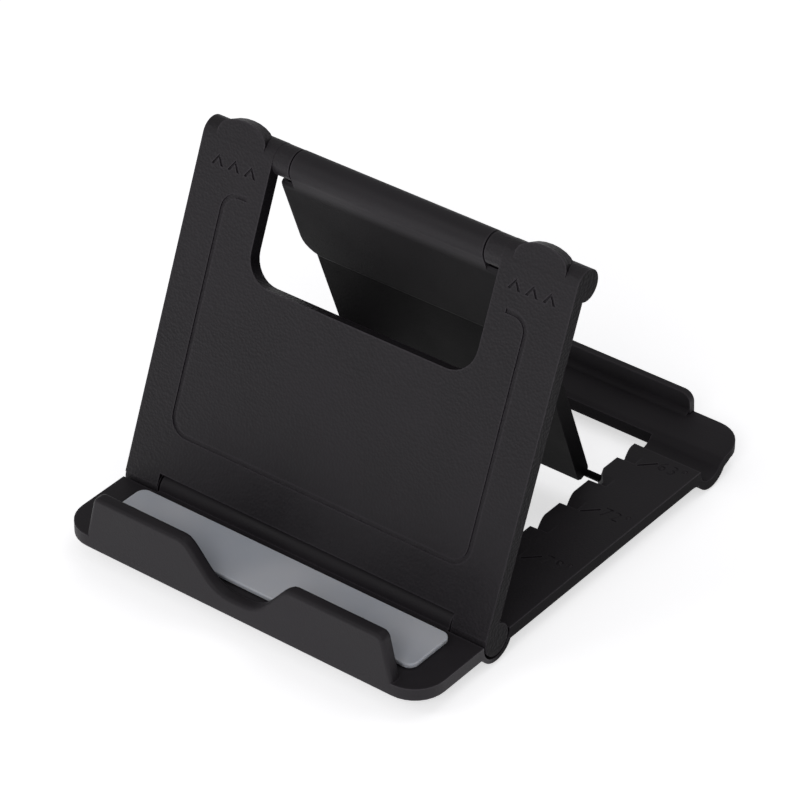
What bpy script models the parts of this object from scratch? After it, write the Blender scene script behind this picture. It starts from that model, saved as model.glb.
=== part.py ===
"""Folding phone stand: a base with a padded ledge, a reclining back panel and a support strut.

X runs along the hinges, -Y is the front, +Y the back, Z up. Profiles are worked out in
millimetres around the lower hinge's fold line and the ledge's top, then scaled to metres.
"""

import math

import bmesh
import bpy
from mathutils import Matrix, Vector

MM = 0.001

# Overall
WIDTH = 80.0
HALF = WIDTH / 2
FRONT_Y = -17.3
BACK_Y = 78.9
PLATE = 2.4
GAP = 0.3
SEAT_R = 3.6
SHELF_Z = -0.3
RIDGE = (70.9, -1.5)
COVE_R = 1.6
SHELF_THICK = 1.9
CORNER_R = 6.2
TABLE_Z = -5.8

# Back panel, measured up its front face from the fold line
RECLINE_DEG = 68.0
PANEL_THICK = 2.7
AXIS_DEPTH = 3.3
LOWER_AXIS_UP = 0.9
UPPER_AXIS_UP = 64.45
LOWER_R = 3.1
UPPER_R = 2.95
UPPER_DEPTH = UPPER_R
WINDOW_HALF = 24.45
WINDOW_UP = 42.6
WINDOW_R = 5.2
CUTOUT_HALF = 32.6
CUTOUT_UP = 3.3
STUB_INNER = 20.9
STUB_OUTER = 31.0
STUB_R = UPPER_R - 0.05
TAB_MID = 31.9
TAB_HALF = 5.3
TAB_TOP_UP = 68.9
TAB_ROOT = 2.2
GROOVE_WIDE = 0.8
GROOVE_DEEP = 0.25
GROOVE_HALF = 32.5
GROOVE_LOW = 11.55
GROOVE_TOP = 56.0
GROOVE_END = 27.8

# Support strut, measured down from the upper axis
STRUT_OPEN_DEG = 42.3
STRUT_BARREL_HALF = 20.6
STRUT_TOP = 2.2
FLAP_HALF = 24.0
FLAP_DOWN = 21.4
FLAP_FRONT = 2.93
FLAP_R = 4.4
FLAP_ROUND = 0.9
STRUT_HALF = 24.2
STRUT_DOWN = 63.2
STRUT_SKIN = (-0.2, 1.6)
FLANGE_BACK = 3.1
FLANGE_WIDE = 2.0
LUG_R = 0.7
LUG_DOWN = 63.1
LUG_BACK = 2.2
LUG_REACH = 27.1

# Base
LIP_TOP = 9.0
LIP_THICK = 2.6
LIP_ROUND = 0.8
LIP_HALF_LOW = 33.8
LIP_HALF_TOP = 31.6
NOTCH_HALF_TOP = 12.4
NOTCH_FLOOR = 1.2
BARREL_R = 3.0
BARREL_HALF = 32.2
FOOT_SPACE_HALF = 28.6
BARREL_BACK = 3.1
SADDLE_R = 4.4
LAND_HALF = 25.6
TOOTH_DEEP = 1.5
TOOTH_USED = 1
LUG_TOOTH_DEEP = 2.1
LUG_TOOTH_FLAT = 1.6
LEADER = (29.9, 0.3, 2.6, 0.45)
LEADER_DEEP = 0.2
TOOTH_FIRST_Y = 58.2
TOOTH_PITCH = 8.68
TOOTH_COUNT = 5
TOOTH_UNDERCUT = 1.6
TOOTH_RAMP = 4.6
POCKET_REACH = 29.2
POCKET_DEEP = 0.7
POCKET_RUN = 3.4
WIDE_END_Y = 9.0
CHANNEL_Y = 67.1
CHANNEL_R = 3.4
BULGE_Y = 67.3
BULGE_R = 4.5
BULGE_Z = -0.8
CHANNEL_CUT_HALF = 24.9
CHANNEL_CUT_Y = 70.2
WALL_HALF = 28.1
WALL_TOP = 3.9
WALL_THICK = 1.4

# Small parts
PIN_R = 0.9
BORE_R = 0.98
LOWER_PIN = (29.2, 37.8)
UPPER_ROD_HALF = 26.4
PAD_HALF = 34.3
PAD_FRONT_Y = -12.6
PAD_BACK_Y = -1.5
PAD_THICK = 1.0
PAD_R = 1.8
FOOT_R = 3.0
FRONT_FOOT = (31.0, -8.5)
REAR_FOOT = (33.4, 75.2)
REAR_FOOT_R = 2.6
FOOT_SINK = 0.4

RECLINE = math.radians(RECLINE_DEG)
STRUT_OPEN = math.radians(STRUT_OPEN_DEG)
LOWER_AXIS = (
    LOWER_AXIS_UP * math.cos(RECLINE) + AXIS_DEPTH * math.sin(RECLINE),
    LOWER_AXIS_UP * math.sin(RECLINE) - AXIS_DEPTH * math.cos(RECLINE),
)
REACH = UPPER_AXIS_UP - LOWER_AXIS_UP
ORIGIN = Vector((0.0, (FRONT_Y + BACK_Y) / 2, TABLE_Z))


def clear_scene():
    for obj in list(bpy.data.objects):
        bpy.data.objects.remove(obj, do_unlink=True)


def collection(name):
    made = bpy.data.collections.new(name)
    bpy.context.scene.collection.children.link(made)
    return made


def material(name, colour, roughness, metallic=0.0):
    made = bpy.data.materials.new(name)
    made.use_nodes = True
    shader = made.node_tree.nodes["Principled BSDF"]
    shader.inputs["Base Color"].default_value = (*colour, 1.0)
    shader.inputs["Roughness"].default_value = roughness
    shader.inputs["Metallic"].default_value = metallic
    made.diffuse_color = (*colour, 1.0)
    return made


def arc(centre, radius, start_deg, end_deg, steps):
    """Points of an arc, from one angle to the other."""
    points = []
    for i in range(steps + 1):
        angle = math.radians(start_deg + (end_deg - start_deg) * i / steps)
        points.append((centre[0] + radius * math.cos(angle), centre[1] + radius * math.sin(angle)))
    return points


def rounded(corners, steps=6):
    """A closed outline from (x, y, radius) corners, each one rounded by its radius."""
    outline = []
    count = len(corners)
    for i, (x, y, radius) in enumerate(corners):
        here = Vector((x, y))
        if radius <= 0:
            outline.append((x, y))
            continue
        before = (Vector(corners[i - 1][:2]) - here).normalized()
        after = (Vector(corners[(i + 1) % count][:2]) - here).normalized()
        half = before.angle(after) / 2
        middle = here + (before + after).normalized() * (radius / math.sin(half))
        first = here + before * (radius / math.tan(half))
        turn = math.pi - 2 * half
        side = 1.0 if (before.x * after.y - before.y * after.x) < 0 else -1.0
        start = first - middle
        for k in range(steps + 1):
            angle = side * turn * k / steps
            spun = Vector((
                start.x * math.cos(angle) - start.y * math.sin(angle),
                start.x * math.sin(angle) + start.y * math.cos(angle),
            ))
            outline.append(tuple(middle + spun))
    return outline


def mesh_object(name, bm):
    mesh = bpy.data.meshes.new(name)
    bm.to_mesh(mesh)
    bm.free()
    mesh.shade_smooth()
    mesh.set_sharp_from_angle(angle=math.radians(30))
    return bpy.data.objects.new(name, mesh)


def prism(name, outline, low, high, turn):
    """A flat outline as a filled 2D curve, extruded from low to high, then made a mesh and turned."""
    curve = bpy.data.curves.new(name, "CURVE")
    curve.dimensions = "2D"
    curve.fill_mode = "BOTH"
    curve.extrude = (high - low) / 2 * MM
    spline = curve.splines.new("POLY")
    spline.points.add(len(outline) - 1)
    for point, (a, b) in zip(spline.points, outline):
        point.co = (a * MM, b * MM, 0.0, 1.0)
    spline.use_cyclic_u = True
    flat = bpy.data.objects.new(name, curve)
    mesh = bpy.data.meshes.new_from_object(flat)
    bpy.data.objects.remove(flat, do_unlink=True)
    bpy.data.curves.remove(curve)
    bm = bmesh.new()
    bm.from_mesh(mesh)
    bpy.data.meshes.remove(mesh)
    bmesh.ops.remove_doubles(bm, verts=bm.verts, dist=0.000002)
    bmesh.ops.recalc_face_normals(bm, faces=bm.faces)
    bm.transform(turn @ Matrix.Translation((0.0, 0.0, (low + high) / 2 * MM)))
    return mesh_object(name, bm)


def along_x(name, outline, low, high):
    """A prism whose outline is (y, z), between two x."""
    turn = Matrix(((0, 0, 1, 0), (1, 0, 0, 0), (0, 1, 0, 0), (0, 0, 0, 1)))
    return prism(name, outline, low, high, turn)


def along_z(name, outline, low, high):
    """A prism whose outline is (x, y), between two heights."""
    return prism(name, outline, low, high, Matrix.Identity(4))


def along_y(name, outline, low, high):
    """A prism whose outline is (x, z), between two y."""
    return prism(name, outline, -high, -low, Matrix.Rotation(math.radians(90), 4, "X"))


def cylinder(name, centre, radius, depth, steps, turn):
    bm = bmesh.new()
    bmesh.ops.create_cone(
        bm, cap_ends=True, segments=steps, radius1=radius * MM, radius2=radius * MM,
        depth=depth * MM, matrix=Matrix.Translation(Vector(centre) * MM) @ turn,
    )
    return mesh_object(name, bm)


def round_x(name, centre, radius, low, high, steps=40):
    """A cylinder along X around (y, z)."""
    middle = ((low + high) / 2, centre[0], centre[1])
    return cylinder(name, middle, radius, high - low, steps, Matrix.Rotation(math.radians(90), 4, "Y"))


def round_z(name, x, y, radius, low, high, steps=28):
    """An upright cylinder."""
    return cylinder(name, (x, y, (low + high) / 2), radius, high - low, steps, Matrix.Identity(4))


def box(name, low, high):
    size = Vector(high) - Vector(low)
    place = Matrix.Translation((Vector(low) + size / 2) * MM) @ Matrix.Diagonal((*(size * MM), 1.0))
    bm = bmesh.new()
    bmesh.ops.create_cube(bm, size=1.0, matrix=place)
    return mesh_object(name, bm)


def bevelled(obj, width, segments=2, angle=40):
    modifier = obj.modifiers.new("rounded_edges", "BEVEL")
    modifier.width = width * MM
    modifier.segments = segments
    modifier.limit_method = "ANGLE"
    modifier.angle_limit = math.radians(angle)
    return obj


def softened(obj, width, segments=3):
    """Rounded edges on a prism, whose flat ends are first made one face each."""
    bm = bmesh.new()
    bm.from_mesh(obj.data)
    bmesh.ops.dissolve_limit(bm, angle_limit=math.radians(0.5), verts=bm.verts, edges=bm.edges)
    bm.to_mesh(obj.data)
    bm.free()
    return bevelled(obj, width, segments)


class Builder:
    """Puts named solids in the stand's collection, and their cutters in another."""

    def __init__(self):
        self.parts = collection("folding_phone_stand")
        self.tools = collection("cutters")
        self.tools.hide_render = True

    def add(self, obj, look):
        self.parts.objects.link(obj)
        obj.data.materials.append(look)
        return obj

    def shape(self, obj, tool, operation):
        self.tools.objects.link(tool)
        tool.hide_render = True
        tool.display_type = "WIRE"
        tool.parent = obj
        modifier = obj.modifiers.new(tool.name, "BOOLEAN")
        modifier.operation = operation
        modifier.solver = "EXACT"
        modifier.object = tool

    def cut(self, obj, tool):
        self.shape(obj, tool, "DIFFERENCE")

    def join(self, obj, tool):
        self.shape(obj, tool, "UNION")

    def keep(self, obj, tool):
        self.shape(obj, tool, "INTERSECT")


def both_sides(make):
    """Calls make(side, word) for the right, where side is 1, and for the left, where it is -1."""
    for side, word in ((1, "right"), (-1, "left")):
        make(side, word)


def span(side, near, far):
    """The low and high X of a stretch given by its distances from the middle."""
    return (near, far) if side > 0 else (-far, -near)


# ---------------------------------------------------------------- base


def base_profile():
    """The rails' and far end's section (y, z): flat rail, round channel, flat shelf."""
    channel = arc((CHANNEL_Y, -0.1), CHANNEL_R, 180, 324, 14)
    shelf = [RIDGE, (RIDGE[0] + 0.5, RIDGE[1] + 0.35), (76.4, SHELF_Z), (BACK_Y + 1, SHELF_Z)]
    under = [(BACK_Y + 1, SHELF_Z - SHELF_THICK), (73.2, SHELF_Z - SHELF_THICK)]
    bulge = arc((BULGE_Y, BULGE_Z), BULGE_R, 330, 205, 14)
    near = [(61.6, -PLATE), (2.0, -PLATE)]
    return [(2.0, 0.0), (CHANNEL_Y - CHANNEL_R, 0.0)] + channel + shelf + under + bulge + near


def tooth_outline(side, wall_y, deep, flat):
    """One notch in plan (x, y): a straight front wall and a ramp that runs back to the land."""
    inner = side * (LAND_HALF - 1.5)
    points = [(inner, wall_y), (side * (LAND_HALF + deep), wall_y + 0.2)]
    for k in range(9):
        t = k / 8
        fall = (1 - t) ** 1.6
        y = wall_y + 0.3 + flat + (TOOTH_RAMP - flat) * t
        points.append((side * (LAND_HALF + deep * fall - 0.05 * t), y))
    return points + [(inner, wall_y + TOOTH_RAMP + 0.3)]


def notch_outline():
    """The finger notch in the lip, as a bell-shaped cut (x, z)."""
    points = []
    steps = 28
    for i in range(steps + 1):
        t = -1 + 2 * i / steps
        x = NOTCH_HALF_TOP * t
        rise = 0.5 * (1 - math.cos(math.pi * abs(t) ** 1.5))
        points.append((x, NOTCH_FLOOR + (LIP_TOP - NOTCH_FLOOR) * rise))
    return points + [(NOTCH_HALF_TOP, LIP_TOP + 3), (-NOTCH_HALF_TOP, LIP_TOP + 3)]


def build_base(builder, look):
    profile = base_profile()
    profile[0] = (FRONT_Y - 1, 0.0)
    profile[-1] = (FRONT_Y - 1, -PLATE)
    base = builder.add(along_x("base", profile, -HALF - 1, HALF + 1), look)
    builder.join(base, round_x("barrel", LOWER_AXIS, BARREL_R, -BARREL_HALF - 0.5, BARREL_HALF + 0.5, 40))

    def hinge_side(side, word):
        low, high = span(side, FOOT_SPACE_HALF + 0.5, HALF + 1)
        builder.join(base, along_x(
            f"saddle_{word}", arc(LOWER_AXIS, SADDLE_R, 177, 363, 26), low, high))
        low, high = span(side, BARREL_HALF, HALF + 2)
        builder.cut(base, round_x(f"knuckle_seat_{word}", LOWER_AXIS, SEAT_R, low, high, 48))

    both_sides(hinge_side)
    builder.join(base, along_y("far_wall", rounded([
        (-WALL_HALF, SHELF_Z - 1.0, 0), (WALL_HALF, SHELF_Z - 1.0, 0),
        (WALL_HALF - 0.2, WALL_TOP, 2.0), (-WALL_HALF + 0.2, WALL_TOP, 2.0),
    ], 5), BACK_Y - WALL_THICK, BACK_Y + 0.5))
    foot_y = BACK_Y - WALL_THICK
    cove = arc((foot_y - COVE_R + 0.08, SHELF_Z + COVE_R - 0.08), COVE_R, 0, -90, 8)
    builder.join(base, along_x("wall_cove", cove + [
        (foot_y - COVE_R, SHELF_Z - 0.8), (foot_y + 0.5, SHELF_Z - 0.8), (foot_y + 0.5, SHELF_Z + COVE_R - 0.08),
    ], -WALL_HALF + 0.3, WALL_HALF - 0.3))
    cut_windows(builder, base)
    builder.keep(base, along_z("plan_outline", rounded([
        (-HALF, FRONT_Y, CORNER_R), (HALF, FRONT_Y, CORNER_R),
        (HALF, BACK_Y, CORNER_R), (-HALF, BACK_Y, CORNER_R),
    ], 8), -12.0, 14.0))
    builder.join(base, softened(lip(), LIP_ROUND))

    def lower_bore(side, word):
        low, high = span(side, FOOT_SPACE_HALF + 0.5, BARREL_HALF + 1)
        builder.cut(base, round_x(f"lower_bore_{word}", LOWER_AXIS, BORE_R, low, high, 24))
        for end, (x, y), radius, low_z in (
            ("front", FRONT_FOOT, FOOT_R, -PLATE),
            ("rear", REAR_FOOT, REAR_FOOT_R, SHELF_Z - SHELF_THICK),
        ):
            seat = round_z(f"foot_seat_{end}_{word}", side * x, y, radius + GAP,
                           low_z - 4.5, low_z + FOOT_SINK + GAP)
            builder.cut(base, seat)

    both_sides(lower_bore)
    return base


def lip():
    """The front lip, seen from the front (x, z), with slanted ends and a finger notch."""
    notch = notch_outline()[:29]
    left = [(-LIP_HALF_LOW - 0.4, -2.0, 0), (-LIP_HALF_TOP, LIP_TOP, 1.6)]
    right = [(LIP_HALF_TOP, LIP_TOP, 1.6), (LIP_HALF_LOW + 0.4, -2.0, 0)]
    corners = left + [(x, z, 0) for x, z in notch] + right
    return along_y("lip", rounded(corners, 5), FRONT_Y - 0.05, FRONT_Y + LIP_THICK)


def cut_windows(builder, base):
    """The opening between the rails, with a wide front for the foot, and the notches beside it."""
    far = CHANNEL_CUT_Y
    builder.cut(base, box("window", (-LAND_HALF, BARREL_BACK + 1, -9), (LAND_HALF, 64.0, 3)))
    builder.cut(base, box("window_front", (-FOOT_SPACE_HALF, BARREL_BACK, -9),
                          (FOOT_SPACE_HALF, WIDE_END_Y, 3)))
    builder.cut(base, box("window_far", (-CHANNEL_CUT_HALF, 60.0, -9), (CHANNEL_CUT_HALF, far, 3)))
    builder.cut(base, box("window_lip", (-LAND_HALF - 2.0, 64.3, -3.5),
                          (LAND_HALF + 2.0, CHANNEL_Y, 3)))

    undercut = Matrix.Identity(4)
    undercut[1][2] = TOOTH_UNDERCUT / PLATE

    def teeth(side, word):
        for k in range(TOOTH_COUNT):
            wall = TOOTH_FIRST_Y - k * TOOTH_PITCH
            used = k == TOOTH_USED
            deep = LUG_TOOTH_DEEP if used else TOOTH_DEEP
            outline = tooth_outline(side, wall, deep, LUG_TOOTH_FLAT if used else 0.0)
            notch = along_z(f"notch_{word}_{k + 1}", outline, -PLATE - 1.0, 1.0)
            notch.data.transform(undercut)
            builder.cut(base, notch)
            pocket = along_x(f"pocket_{word}_{k + 1}", [
                (wall + 0.35, -POCKET_DEEP), (wall + POCKET_RUN, 0.0),
                (wall + POCKET_RUN, 1.0), (wall + 0.35, 1.0),
            ], *span(side, LAND_HALF - 0.5, POCKET_REACH))
            builder.cut(base, pocket)
            if k % 2 == 0:
                builder.cut(base, leader(f"leader_{word}_{k + 1}", side, wall))

    both_sides(teeth)


def leader(name, side, wall):
    """A fine engraved line from a notch out towards its angle mark."""
    x, y, run, wide = LEADER
    start = Vector((side * x, wall + y))
    end = start + Vector((side * run, run))
    across = Vector((-1.0, side)).normalized() * wide / 2
    outline = [tuple(start + across), tuple(start - across), tuple(end - across), tuple(end + across)]
    return along_z(name, outline, -LEADER_DEEP, 1.0)


# ---------------------------------------------------------------- back panel


def up(distance):
    """Distance up the front face from the fold line, as the panel's own Y."""
    return distance - LOWER_AXIS_UP


def depth(distance):
    """Distance behind the front face, as the panel's own Z."""
    return AXIS_DEPTH - distance


def offset_path(path, side):
    """The path moved sideways by half the groove's width, on one side."""
    moved = []
    for i, point in enumerate(path):
        before = Vector(path[max(i - 1, 0)])
        after = Vector(path[min(i + 1, len(path) - 1)])
        along = (after - before).normalized()
        here = Vector(point)
        moved.append(tuple(here + Vector((-along.y, along.x)) * side * GROOVE_WIDE / 2))
    return moved


def groove_outline():
    top, low, half = up(GROOVE_TOP), up(GROOVE_LOW), GROOVE_HALF
    frame = rounded([
        (-half, top, 3.0), (-half, low, 3.4), (half, low, 3.4), (half, top, 3.0),
        (GROOVE_END, top, 0), (-GROOVE_END, top, 0),
    ], 6)
    path = [frame[-1]] + frame[:-1]
    outer = offset_path(path, 1)
    inner = offset_path(path, -1)
    return outer + list(reversed(inner))


def chevron(x, y, wide, tall, line):
    """An upward chevron in plan, as a closed outline."""
    return [
        (x - wide / 2, y), (x - wide / 2 + line, y), (x, y + tall - line * 1.2),
        (x + wide / 2 - line, y), (x + wide / 2, y), (x, y + tall),
    ]


def build_panel(builder, look, hinge):
    top = UPPER_AXIS_UP
    upper = (up(top), depth(UPPER_DEPTH))
    behind = -180.0 - math.degrees(math.asin((UPPER_DEPTH - PANEL_THICK) / UPPER_R))
    plate = along_x("back_panel", [
        (up(LOWER_AXIS_UP), depth(0.0)), (up(LOWER_AXIS_UP), depth(PANEL_THICK)),
    ] + arc(upper, UPPER_R, behind, 90.0, 36), -HALF, HALF)
    panel = builder.add(plate, look)
    panel.parent = hinge
    window = along_z("panel_window", rounded([
        (-WINDOW_HALF, up(WINDOW_UP), WINDOW_R), (WINDOW_HALF, up(WINDOW_UP), WINDOW_R),
        (WINDOW_HALF, up(top + 12), 0), (-WINDOW_HALF, up(top + 12), 0),
    ], 8), -6, 8)
    builder.cut(panel, window)
    builder.cut(panel, box("knuckle_cutout", (-CUTOUT_HALF, up(-4), -6),
                           (CUTOUT_HALF, up(CUTOUT_UP), 8)))
    builder.cut(panel, round_x("knuckle_clearance", (0.0, 0.0), BARREL_R + 0.4,
                               -CUTOUT_HALF, CUTOUT_HALF, 48))

    def ends(side, word):
        low, high = span(side, BARREL_HALF + GAP, HALF)
        builder.join(panel, round_x(f"lower_knuckle_{word}", (0.0, 0.0), LOWER_R, low, high, 48))
        low, high = span(side, STUB_INNER, STUB_OUTER)
        builder.join(panel, round_x(f"upper_knuckle_{word}", upper, STUB_R, low, high, 40))
        mid = side * TAB_MID
        base_y = up(top + 1.0)
        top_y = up(TAB_TOP_UP)
        tab = [(mid - TAB_HALF, base_y - TAB_ROOT)] + [
            (mid + TAB_HALF * math.sin(math.radians(a)), base_y + (top_y - base_y)
             * math.cos(math.radians(a)) ** 0.8)
            for a in range(-80, 81, 16)
        ] + [(mid + TAB_HALF, base_y - TAB_ROOT)]
        builder.join(panel, along_z(f"thumb_tab_{word}", tab, depth(2.6), depth(0.03)))
        low, high = span(side, BARREL_HALF - 1, 38.7)
        builder.cut(panel, round_x(f"panel_bore_{word}", (0.0, 0.0), BORE_R, low, high, 24))
        low, high = span(side, STUB_INNER - 1, UPPER_ROD_HALF + GAP)
        builder.cut(panel, round_x(f"stub_bore_{word}", upper, BORE_R, low, high, 24))
        for k in (-1, 0, 1):
            mark = chevron(mid + 3.6 * k, up(59.8), 2.6, 2.0, 0.55)
            builder.cut(panel, along_z(f"chevron_{word}_{k + 2}", mark, depth(0.3), depth(-1)))

    both_sides(ends)
    builder.cut(panel, along_z("front_groove", groove_outline(), depth(GROOVE_DEEP), depth(-1)))
    return panel


# ---------------------------------------------------------------- support strut


def build_strut(builder, look, hinge):
    """The strut's own Y runs up towards the axis and its own Z to the front."""
    skin_low, skin_high = -STRUT_SKIN[1], -STRUT_SKIN[0]
    plate = along_x("support_strut", [
        (-STRUT_DOWN, skin_low), (-STRUT_DOWN, skin_high - 0.8), (-STRUT_DOWN + 0.7, skin_high),
        (-STRUT_TOP, skin_high), (-STRUT_TOP, skin_low),
    ], -STRUT_HALF, STRUT_HALF)
    strut = builder.add(plate, look)
    strut.parent = hinge
    builder.join(strut, softened(along_z("flap", rounded([
        (-FLAP_HALF, -FLAP_DOWN, FLAP_R), (FLAP_HALF, -FLAP_DOWN, FLAP_R),
        (FLAP_HALF, -STRUT_TOP - 0.05, 1.2), (-FLAP_HALF, -STRUT_TOP - 0.05, 1.2),
    ], 6), skin_low + 0.4, FLAP_FRONT), FLAP_ROUND))

    def shoulders(side, word):
        low, high = span(side, STRUT_BARREL_HALF + 0.05, STRUT_HALF + 2)
        clear = round_x(f"shoulder_{word}", (0.0, 0.0), UPPER_R + 0.35, low, high, 40)
        builder.cut(strut, clear)

    both_sides(shoulders)
    builder.join(strut, box("neck", (-STRUT_BARREL_HALF, -STRUT_TOP - 2.0, skin_low + 0.2),
                            (STRUT_BARREL_HALF, 0.0, FLAP_FRONT - 0.02)))
    builder.join(strut, round_x("strut_barrel", (0.0, 0.0), UPPER_R,
                                -STRUT_BARREL_HALF, STRUT_BARREL_HALF, 40))

    def side_parts(side, word):
        low, high = span(side, STRUT_HALF - FLANGE_WIDE, STRUT_HALF - 0.02)
        builder.join(strut, along_x(f"flange_{word}", rounded([
            (-STRUT_DOWN + 0.1, -FLANGE_BACK, 1.0), (-STRUT_DOWN + 0.1, -0.5, 0),
            (-STRUT_TOP - 1.3, -0.5, 0), (-STRUT_TOP - 4.5, -FLANGE_BACK, 1.5),
        ], 4), low, high))
        low, high = span(side, STRUT_HALF - 1.5, LUG_REACH)
        builder.join(strut, round_x(f"lug_{word}", (-LUG_DOWN, -LUG_BACK), LUG_R, low, high, 20))

    both_sides(side_parts)
    builder.join(strut, box("foot_rib", (-STRUT_HALF + 1.0, -STRUT_DOWN + 0.12, -FLANGE_BACK + 0.3),
                            (STRUT_HALF - 1.0, -STRUT_DOWN + 1.9, -0.5)))
    builder.cut(strut, round_x("strut_bore", (0.0, 0.0), BORE_R,
                               -STRUT_BARREL_HALF - 1, STRUT_BARREL_HALF + 1, 24))
    return strut


# ---------------------------------------------------------------- small parts


def build_small_parts(builder, silicone, rubber, steel, upper_hinge):
    pad = along_z("ledge_pad", rounded([
        (-PAD_HALF, PAD_FRONT_Y, PAD_R), (PAD_HALF, PAD_FRONT_Y, PAD_R),
        (PAD_HALF, PAD_BACK_Y, PAD_R), (-PAD_HALF, PAD_BACK_Y, PAD_R),
    ], 6), 0.02, PAD_THICK)
    builder.add(pad, silicone)
    placed = [pad]

    def side_parts(side, word):
        low, high = span(side, *LOWER_PIN)
        pin = round_x(f"lower_hinge_pin_{word}", (0.0, 0.0), PIN_R, low, high, 24)
        builder.add(pin, steel)
        pin.location = Vector((0.0, *LOWER_AXIS)) * MM
        for end, (x, y), radius, low_z in (
            ("front", FRONT_FOOT, FOOT_R, -PLATE),
            ("rear", REAR_FOOT, REAR_FOOT_R, SHELF_Z - SHELF_THICK),
        ):
            foot = round_z(f"foot_{end}_{word}", side * x, y, radius, TABLE_Z, low_z + FOOT_SINK)
            builder.add(bevelled(foot, 0.35), rubber)
            placed.append(foot)
        placed.append(pin)

    both_sides(side_parts)
    rod = round_x("upper_hinge_rod", (0.0, 0.0), PIN_R, -UPPER_ROD_HALF, UPPER_ROD_HALF, 24)
    builder.add(rod, steel)
    rod.parent = upper_hinge
    return placed


def empty(builder, name, parent, location, turn):
    made = bpy.data.objects.new(name, None)
    builder.parts.objects.link(made)
    made.parent = parent
    made.location = Vector(location) * MM
    made.rotation_euler = (turn, 0.0, 0.0)
    made.empty_display_size = 0.01
    return made


def main():
    clear_scene()
    builder = Builder()
    plastic = material("charcoal_plastic", (0.028, 0.027, 0.030), 0.52)
    strut_plastic = material("charcoal_plastic_strut", (0.026, 0.025, 0.028), 0.5)
    panel_plastic = material("grained_charcoal_plastic", (0.030, 0.029, 0.032), 0.58)
    silicone = material("grey_silicone", (0.22, 0.25, 0.28), 0.38)
    rubber = material("black_rubber", (0.012, 0.012, 0.013), 0.8)
    steel = material("steel", (0.55, 0.55, 0.56), 0.3, 1.0)

    frame = empty(builder, "stand_frame", None, -ORIGIN, 0.0)
    panel_hinge = empty(builder, "panel_hinge", frame, (0.0, *LOWER_AXIS), RECLINE)
    upper = (0.0, REACH, depth(UPPER_DEPTH))
    strut_hinge = empty(builder, "strut_hinge", panel_hinge, upper, STRUT_OPEN)

    base = build_base(builder, plastic)
    base.parent = frame
    build_panel(builder, panel_plastic, panel_hinge)
    build_strut(builder, strut_plastic, strut_hinge)
    rod_frame = empty(builder, "rod_frame", panel_hinge, upper, 0.0)
    for obj in build_small_parts(builder, silicone, rubber, steel, rod_frame):
        obj.parent = frame


main()
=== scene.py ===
import math

import bmesh
import bpy
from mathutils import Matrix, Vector

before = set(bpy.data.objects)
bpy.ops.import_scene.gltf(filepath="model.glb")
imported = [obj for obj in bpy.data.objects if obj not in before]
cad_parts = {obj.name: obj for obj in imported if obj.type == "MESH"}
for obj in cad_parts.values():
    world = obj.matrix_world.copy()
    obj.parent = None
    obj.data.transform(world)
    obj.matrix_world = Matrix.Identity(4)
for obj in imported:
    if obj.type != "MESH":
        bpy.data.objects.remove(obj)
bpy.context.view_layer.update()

# Folding phone stand. The part is worked out in millimetres around the fold line, and these
# shifts take its Y and Z to the frame's.
MM = 0.001
SHIFT_Y, SHIFT_Z = -30.8, 5.8

# The marked notches on the rails, and the lengths that give each one's reclining angle
FIRST_NOTCH_Y, NOTCH_PITCH = 58.2, 8.68
MARKED_NOTCHES = (0, 2, 4)
LUG_IN_NOTCH = 1.35
PANEL_REACH, STRUT_REACH, HINGE_Y = 63.55, 63.14, 3.4
MARK_X, MARK_BEHIND_NOTCH = 35.7, 2.6
MARK_TALL, MARK_DEEP_BOTH_WAYS, MARK_LIFT = 3.9, 0.3, 0.1

# Looks
CHARCOAL = (0.0190, 0.0165, 0.0197)
# The pad's rim colour is a painted highlight.
PAD_DARK, PAD_PALE, PAD_RIM_HIGHLIGHT = (0.50, 0.525, 0.585), (0.60, 0.61, 0.655), (0.88, 0.91, 0.94)
BLACK_RUBBER = (0.012, 0.012, 0.013)
STEEL = (0.55, 0.55, 0.56)
FLOOR_WHITE = (0.9, 0.895, 0.92)

# Heights and depths where painted shade begins or ends, in metres in the piece's own coordinates
STRUT_BARREL_ENDS = (0.0600, 0.0620)
STRUT_FLAP_ENDS = (0.0438, 0.0446)
RAIL_TOP = (0.0056, 0.0060)
HINGE_BACK = (-0.030, -0.027)

# Studio
CAMERA_PLACE = (0.369469, -0.476160, 0.442554)
CAMERA_DOWN, CAMERA_TURN = math.radians(34.8837), math.radians(37.9627)
LENS, SENSOR = 189.0, 36.0
LIGHTS = (
    # name, place, side, power in watts
    ("key", (-0.5, -0.7, 0.75), 0.4, 1.0),
    ("front", (0.3, -0.8, 0.6), 0.35, 1.7),
    ("top", (0.1, 0.35, 0.9), 0.5, 0.8),
)
LIGHT_TARGET = (0, 0, 0.02)
WORLD_STRENGTH = 0.3
FLOOR_GLOW = 0.61
FLOOR_HALF = 6

# ---------------------------------------------------------------- shader helpers


def principled(name):
    made = bpy.data.materials.new(name)
    made.use_nodes = True
    return made, made.node_tree, made.node_tree.nodes["Principled BSDF"]


def coordinates(tree, kind="Object"):
    return tree.nodes.new("ShaderNodeTexCoord").outputs[kind]


def noise(tree, coords, scale, detail=4.0):
    made = tree.nodes.new("ShaderNodeTexNoise")
    made.inputs["Scale"].default_value = scale
    made.inputs["Detail"].default_value = detail
    made.inputs["Roughness"].default_value = 0.55
    tree.links.new(coords, made.inputs["Vector"])
    return made.outputs["Fac"]


def ramp(tree, source, low, high, at_low, at_high):
    made = tree.nodes.new("ShaderNodeMapRange")
    made.inputs["From Min"].default_value = low
    made.inputs["From Max"].default_value = high
    made.inputs["To Min"].default_value = at_low
    made.inputs["To Max"].default_value = at_high
    tree.links.new(source, made.inputs["Value"])
    return made.outputs["Result"]


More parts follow.
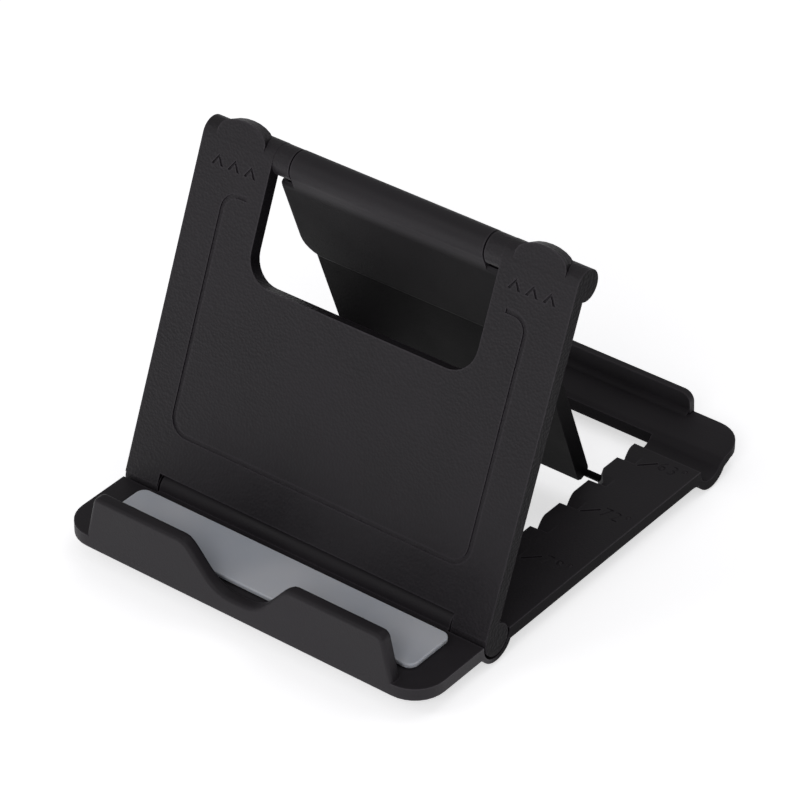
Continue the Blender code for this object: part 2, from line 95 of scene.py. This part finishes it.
def mix(tree, amount, first, second, blend="MIX"):
    """Two colours mixed by the amount. Each one is a socket or a constant."""
    made = tree.nodes.new("ShaderNodeMixRGB")
    made.blend_type = blend
    tree.links.new(amount, made.inputs["Fac"])
    for name, colour in (("Color1", first), ("Color2", second)):
        if isinstance(colour, tuple):
            made.inputs[name].default_value = (*colour, 1)
        else:
            tree.links.new(colour, made.inputs[name])
    return made.outputs["Color"]


def calculate(tree, operation, *values):
    made = tree.nodes.new("ShaderNodeMath")
    made.operation = operation
    for socket, value in zip(made.inputs, values):
        tree.links.new(value, socket)
    return made.outputs["Value"]


def split(tree, source):
    made = tree.nodes.new("ShaderNodeSeparateXYZ")
    tree.links.new(source, made.inputs["Vector"])
    return made.outputs


def bump(tree, height, strength, distance, normal=None):
    made = tree.nodes.new("ShaderNodeBump")
    made.inputs["Strength"].default_value = strength
    made.inputs["Distance"].default_value = distance
    tree.links.new(height, made.inputs["Height"])
    if normal is not None:
        tree.links.new(normal, made.inputs["Normal"])
    return made.outputs["Normal"]


def flatness(tree, radius, samples):
    """1 on a flat face, and less within the radius of an edge."""
    bevel = tree.nodes.new("ShaderNodeBevel")
    bevel.samples = samples
    bevel.inputs["Radius"].default_value = radius
    dot = tree.nodes.new("ShaderNodeVectorMath")
    dot.operation = "DOT_PRODUCT"
    tree.links.new(bevel.outputs["Normal"], dot.inputs[0])
    tree.links.new(tree.nodes.new("ShaderNodeNewGeometry").outputs["Normal"], dot.inputs[1])
    return dot.outputs["Value"]


# ---------------------------------------------------------------- materials


def plastic(name, roughness, grain_scale, grain_height, gloss):
    """Moulded charcoal plastic: a pebbled grain, soft mottling, and edges painted lighter as a highlight.
    """
    made, tree, shader = principled(name)
    coords = coordinates(tree)
    mottle = noise(tree, coords, 60.0, 3.0)
    dark = tuple(c * 0.9 for c in CHARCOAL)
    light = tuple(c * 1.12 for c in CHARCOAL)
    # Painted highlight: the edges are painted lighter in this colour, standing in for light caught on the
    # rounded rims.
    edge_highlight_colour = tuple(c * 3.2 for c in CHARCOAL)
    body = mix(tree, ramp(tree, mottle, 0.35, 0.65, 0.0, 1.0), dark, light)
    edge_highlight = ramp(tree, flatness(tree, 0.0006, 4), 0.99, 0.8, 0.0, 0.6)
    tree.links.new(mix(tree, edge_highlight, body, edge_highlight_colour), shader.inputs["Base Color"])
    tree.links.new(
        ramp(tree, mottle, 0.3, 0.7, roughness - 0.05, roughness + 0.06), shader.inputs["Roughness"])
    pebble = tree.nodes.new("ShaderNodeTexVoronoi")
    pebble.inputs["Scale"].default_value = grain_scale
    tree.links.new(coords, pebble.inputs["Vector"])
    coarse = bump(tree, pebble.outputs["Distance"], grain_height, 0.0001)
    fine = bump(tree, noise(tree, coords, grain_scale * 0.7, 5.0), grain_height * 0.6, 0.00006, coarse)
    tree.links.new(fine, shader.inputs["Normal"])
    shader.inputs["Specular IOR Level"].default_value = gloss
    return made


def paint_shade(look, mask, darker, gloss):
    """Where the mask is 1 the plastic is painted darker as shade and has almost no sheen."""
    tree = look.node_tree
    shader = tree.nodes["Principled BSDF"]
    colour = shader.inputs["Base Color"].links[0].from_socket
    # Painted shade: the colour is multiplied darker where the mask is 1.
    shaded = mix(tree, mask, colour, (darker, darker, darker), "MULTIPLY")
    tree.links.new(shaded, shader.inputs["Base Color"])
    sheen = shader.inputs["Specular IOR Level"]
    tree.links.new(ramp(tree, mask, 0.0, 1.0, sheen.default_value, gloss), sheen)


def base_plastic():
    """The rails' side and under faces behind the hinge are painted darker as shade, with less sheen than
    their tops.
    """
    look = plastic("charcoal_plastic_base", 0.52, 2600.0, 0.15, 0.22)
    tree = look.node_tree
    place, facing = split(tree, coordinates(tree)), split(tree, coordinates(tree, "Normal"))
    edge = ramp(tree, facing["Z"], 0.1, 0.5, 1.0, 0.0)
    low = ramp(tree, place["Z"], *RAIL_TOP, 1.0, 0.0)
    behind = ramp(tree, place["Y"], *HINGE_BACK, 0.0, 1.0)
    # Painted shade on the rails' side and under faces behind the hinge.
    paint_shade(look, calculate(tree, "MULTIPLY", calculate(tree, "MULTIPLY", edge, low), behind), 0.35, 0.03)
    return look


def panel_plastic():
    """The panel has the strongest grain, and its side faces are painted darker as shade, with less sheen.
    """
    look = plastic("charcoal_plastic_panel", 0.5, 1900.0, 0.7, 0.3)
    tree = look.node_tree
    sideways = calculate(tree, "ABSOLUTE", split(tree, coordinates(tree, "Normal"))["X"])
    # Painted shade on the faces that point sideways.
    paint_shade(look, ramp(tree, sideways, 0.6, 0.95, 0.0, 1.0), 0.4, 0.05)
    return look


def strut_plastic():
    """The flap below the barrel is painted darker as shade, and the plate below the flap darker still."""
    look = plastic("charcoal_plastic_strut", 0.55, 2600.0, 0.2, 0.3)
    tree = look.node_tree
    place = split(tree, coordinates(tree))
    flap = ramp(tree, place["Z"], *STRUT_BARREL_ENDS, 0.68, 0.0)
    plate = ramp(tree, place["Z"], *STRUT_FLAP_ENDS, 0.16, 0.0)
    # Painted shade: darker towards the bottom, where the panel shades the strut.
    paint_shade(look, calculate(tree, "ADD", flap, plate), 0.0, 0.0)
    return look


def silicone():
    """Grey silicone: a slightly cloudy body and a paler rim painted along its edges as a highlight."""
    made, tree, shader = principled("grey_silicone")
    coords = coordinates(tree)
    dust = noise(tree, coords, 900.0, 6.0)
    tree.links.new(ramp(tree, dust, 0.3, 0.7, 0.3, 0.46), shader.inputs["Roughness"])
    tree.links.new(bump(tree, dust, 0.12, 0.0001), shader.inputs["Normal"])
    cloudy = ramp(tree, noise(tree, coords, 45.0, 2.0), 0.35, 0.65, 0.0, 1.0)
    # Painted highlight along the pad's rim.
    rim_highlight = ramp(tree, flatness(tree, 0.0005, 6), 0.995, 0.86, 0.0, 0.75)
    colour = mix(tree, rim_highlight, mix(tree, cloudy, PAD_DARK, PAD_PALE), PAD_RIM_HIGHLIGHT)
    tree.links.new(colour, shader.inputs["Base Color"])
    shader.inputs["Subsurface Weight"].default_value = 0.2
    shader.inputs["Subsurface Radius"].default_value = (0.001, 0.0012, 0.0015)
    return made


def simple(name, colour, roughness, metallic=0.0):
    """One colour, with a roughness that varies a little."""
    made, tree, shader = principled(name)
    shader.inputs["Base Color"].default_value = (*colour, 1)
    shader.inputs["Metallic"].default_value = metallic
    uneven = ramp(tree, noise(tree, coordinates(tree), 700.0), 0.3, 0.7, roughness - 0.06, roughness + 0.08)
    tree.links.new(uneven, shader.inputs["Roughness"])
    return made


# ---------------------------------------------------------------- pieces


def dress(name, look, rounding=0.0, engraving=()):
    """Gives a piece its look and, with a rounding in millimetres, softened edges and engraved marks."""
    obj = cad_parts[name]
    obj.data.materials.clear()
    obj.data.materials.append(look)
    if rounding:
        weld = obj.modifiers.new("weld", "WELD")
        weld.merge_threshold = 0.000004
        flat = obj.modifiers.new("planes", "DECIMATE")
        flat.decimate_type = "DISSOLVE"
        flat.angle_limit = math.radians(1.0)
        edge = obj.modifiers.new("edges", "BEVEL")
        edge.width = rounding * MM
        edge.segments = 3
        edge.limit_method = "ANGLE"
        edge.angle_limit = math.radians(38)
        edge.use_clamp_overlap = True
        for cutter in engraving:
            mark = obj.modifiers.new(cutter.name, "BOOLEAN")
            mark.operation = "DIFFERENCE"
            mark.solver = "EXACT"
            mark.object = cutter
        even = obj.modifiers.new("even_shading", "WEIGHTED_NORMAL")
        even.weight = 60
        even.keep_sharp = False
    obj.data.shade_smooth()


def angle_mark(name, words, x, y):
    """Figures for a reclining angle, as a cutter that stands in the rail's top and engraves it."""
    text = bpy.data.curves.new(name, "FONT")
    text.body = words
    text.size = MARK_TALL * MM
    text.extrude = MARK_DEEP_BOTH_WAYS * MM
    text.offset = -0.02 * MM
    text.resolution_u = 3
    text.space_character = 1.1
    text.align_x = "CENTER"
    text.align_y = "CENTER"
    flat = bpy.data.objects.new(name, text)
    mesh = bpy.data.meshes.new_from_object(flat)
    bpy.data.objects.remove(flat, do_unlink=True)
    bm = bmesh.new()
    bm.from_mesh(mesh)
    bmesh.ops.remove_doubles(bm, verts=bm.verts, dist=0.000002)
    bmesh.ops.recalc_face_normals(bm, faces=bm.faces)
    bm.to_mesh(mesh)
    bm.free()
    cutter = bpy.data.objects.new(name, mesh)
    bpy.context.scene.collection.objects.link(cutter)
    cutter.location = (x * MM, (y + SHIFT_Y) * MM, (SHIFT_Z + MARK_LIFT) * MM)
    cutter.hide_render = True
    cutter.hide_viewport = True
    cutter.display_type = "WIRE"
    return cutter


def recline_at(notch_y):
    """The panel's angle in degrees when the strut's foot is in this notch, by the law of cosines."""
    foot = notch_y + LUG_IN_NOTCH - HINGE_Y
    cosine = (PANEL_REACH ** 2 + foot ** 2 - STRUT_REACH ** 2) / (2 * PANEL_REACH * foot)
    return round(math.degrees(math.acos(cosine)))


def angle_marks():
    marks = []
    for count, notch in enumerate(MARKED_NOTCHES, 1):
        notch_y = FIRST_NOTCH_Y - notch * NOTCH_PITCH
        words = f"{recline_at(notch_y)}°"
        for word, side in (("right", 1), ("left", -1)):
            marks.append(
                angle_mark(f"angle_{word}_{count}", words, side * MARK_X, notch_y + MARK_BEHIND_NOTCH))
    return marks


def dress_pieces():
    dress("base", base_plastic(), 0.3, angle_marks())
    dress("back_panel", panel_plastic(), 0.3)
    dress("support_strut", strut_plastic(), 0.3)
    dress("ledge_pad", silicone(), 0.3)
    steel = simple("steel", STEEL, 0.3, 1.0)
    for name in ("lower_hinge_pin_left", "lower_hinge_pin_right", "upper_hinge_rod"):
        dress(name, steel)
    rubber = simple("black_rubber", BLACK_RUBBER, 0.75)
    for end in ("front", "rear"):
        for side in ("left", "right"):
            dress(f"foot_{end}_{side}", rubber, 0.4)


# ---------------------------------------------------------------- studio


def area(name, place, side, power):
    """A square light aimed at the stand."""
    light = bpy.data.lights.new(name, "AREA")
    light.size = side
    light.energy = power
    obj = bpy.data.objects.new(name, light)
    bpy.context.scene.collection.objects.link(obj)
    obj.location = place
    obj.rotation_euler = (Vector(LIGHT_TARGET) - Vector(place)).to_track_quat("-Z", "Y").to_euler()


def floor():
    """A white floor with a glow of its own, so that shadows on it stay soft."""
    bm = bmesh.new()
    bmesh.ops.create_grid(bm, x_segments=1, y_segments=1, size=FLOOR_HALF)
    mesh = bpy.data.meshes.new("floor")
    bm.to_mesh(mesh)
    bm.free()
    obj = bpy.data.objects.new("floor", mesh)
    bpy.context.scene.collection.objects.link(obj)
    made, _, shader = principled("white_floor")
    shader.inputs["Base Color"].default_value = (*FLOOR_WHITE, 1)
    shader.inputs["Roughness"].default_value = 0.8
    shader.inputs["Specular IOR Level"].default_value = 0.0
    shader.inputs["Emission Color"].default_value = (1, 1, 1, 1)
    shader.inputs["Emission Strength"].default_value = FLOOR_GLOW
    obj.data.materials.append(made)


def sky():
    world = bpy.data.worlds.new("studio")
    bpy.context.scene.world = world
    world.use_nodes = True
    background = world.node_tree.nodes["Background"]
    background.inputs["Color"].default_value = (1, 1, 1, 1)
    background.inputs["Strength"].default_value = WORLD_STRENGTH


def photo_camera():
    camera = bpy.data.cameras.new("photo_view")
    camera.sensor_width = SENSOR
    camera.lens = LENS
    camera.clip_start = 0.01
    camera.clip_end = 30.0
    obj = bpy.data.objects.new("photo_view", camera)
    bpy.context.scene.collection.objects.link(obj)
    obj.location = CAMERA_PLACE
    obj.rotation_euler = (math.radians(90) - CAMERA_DOWN, 0.0, CAMERA_TURN)
    bpy.context.scene.camera = obj


dress_pieces()
floor()
sky()
for light in LIGHTS:
    area(*light)
bpy.context.scene.view_settings.view_transform = "Standard"
photo_camera()
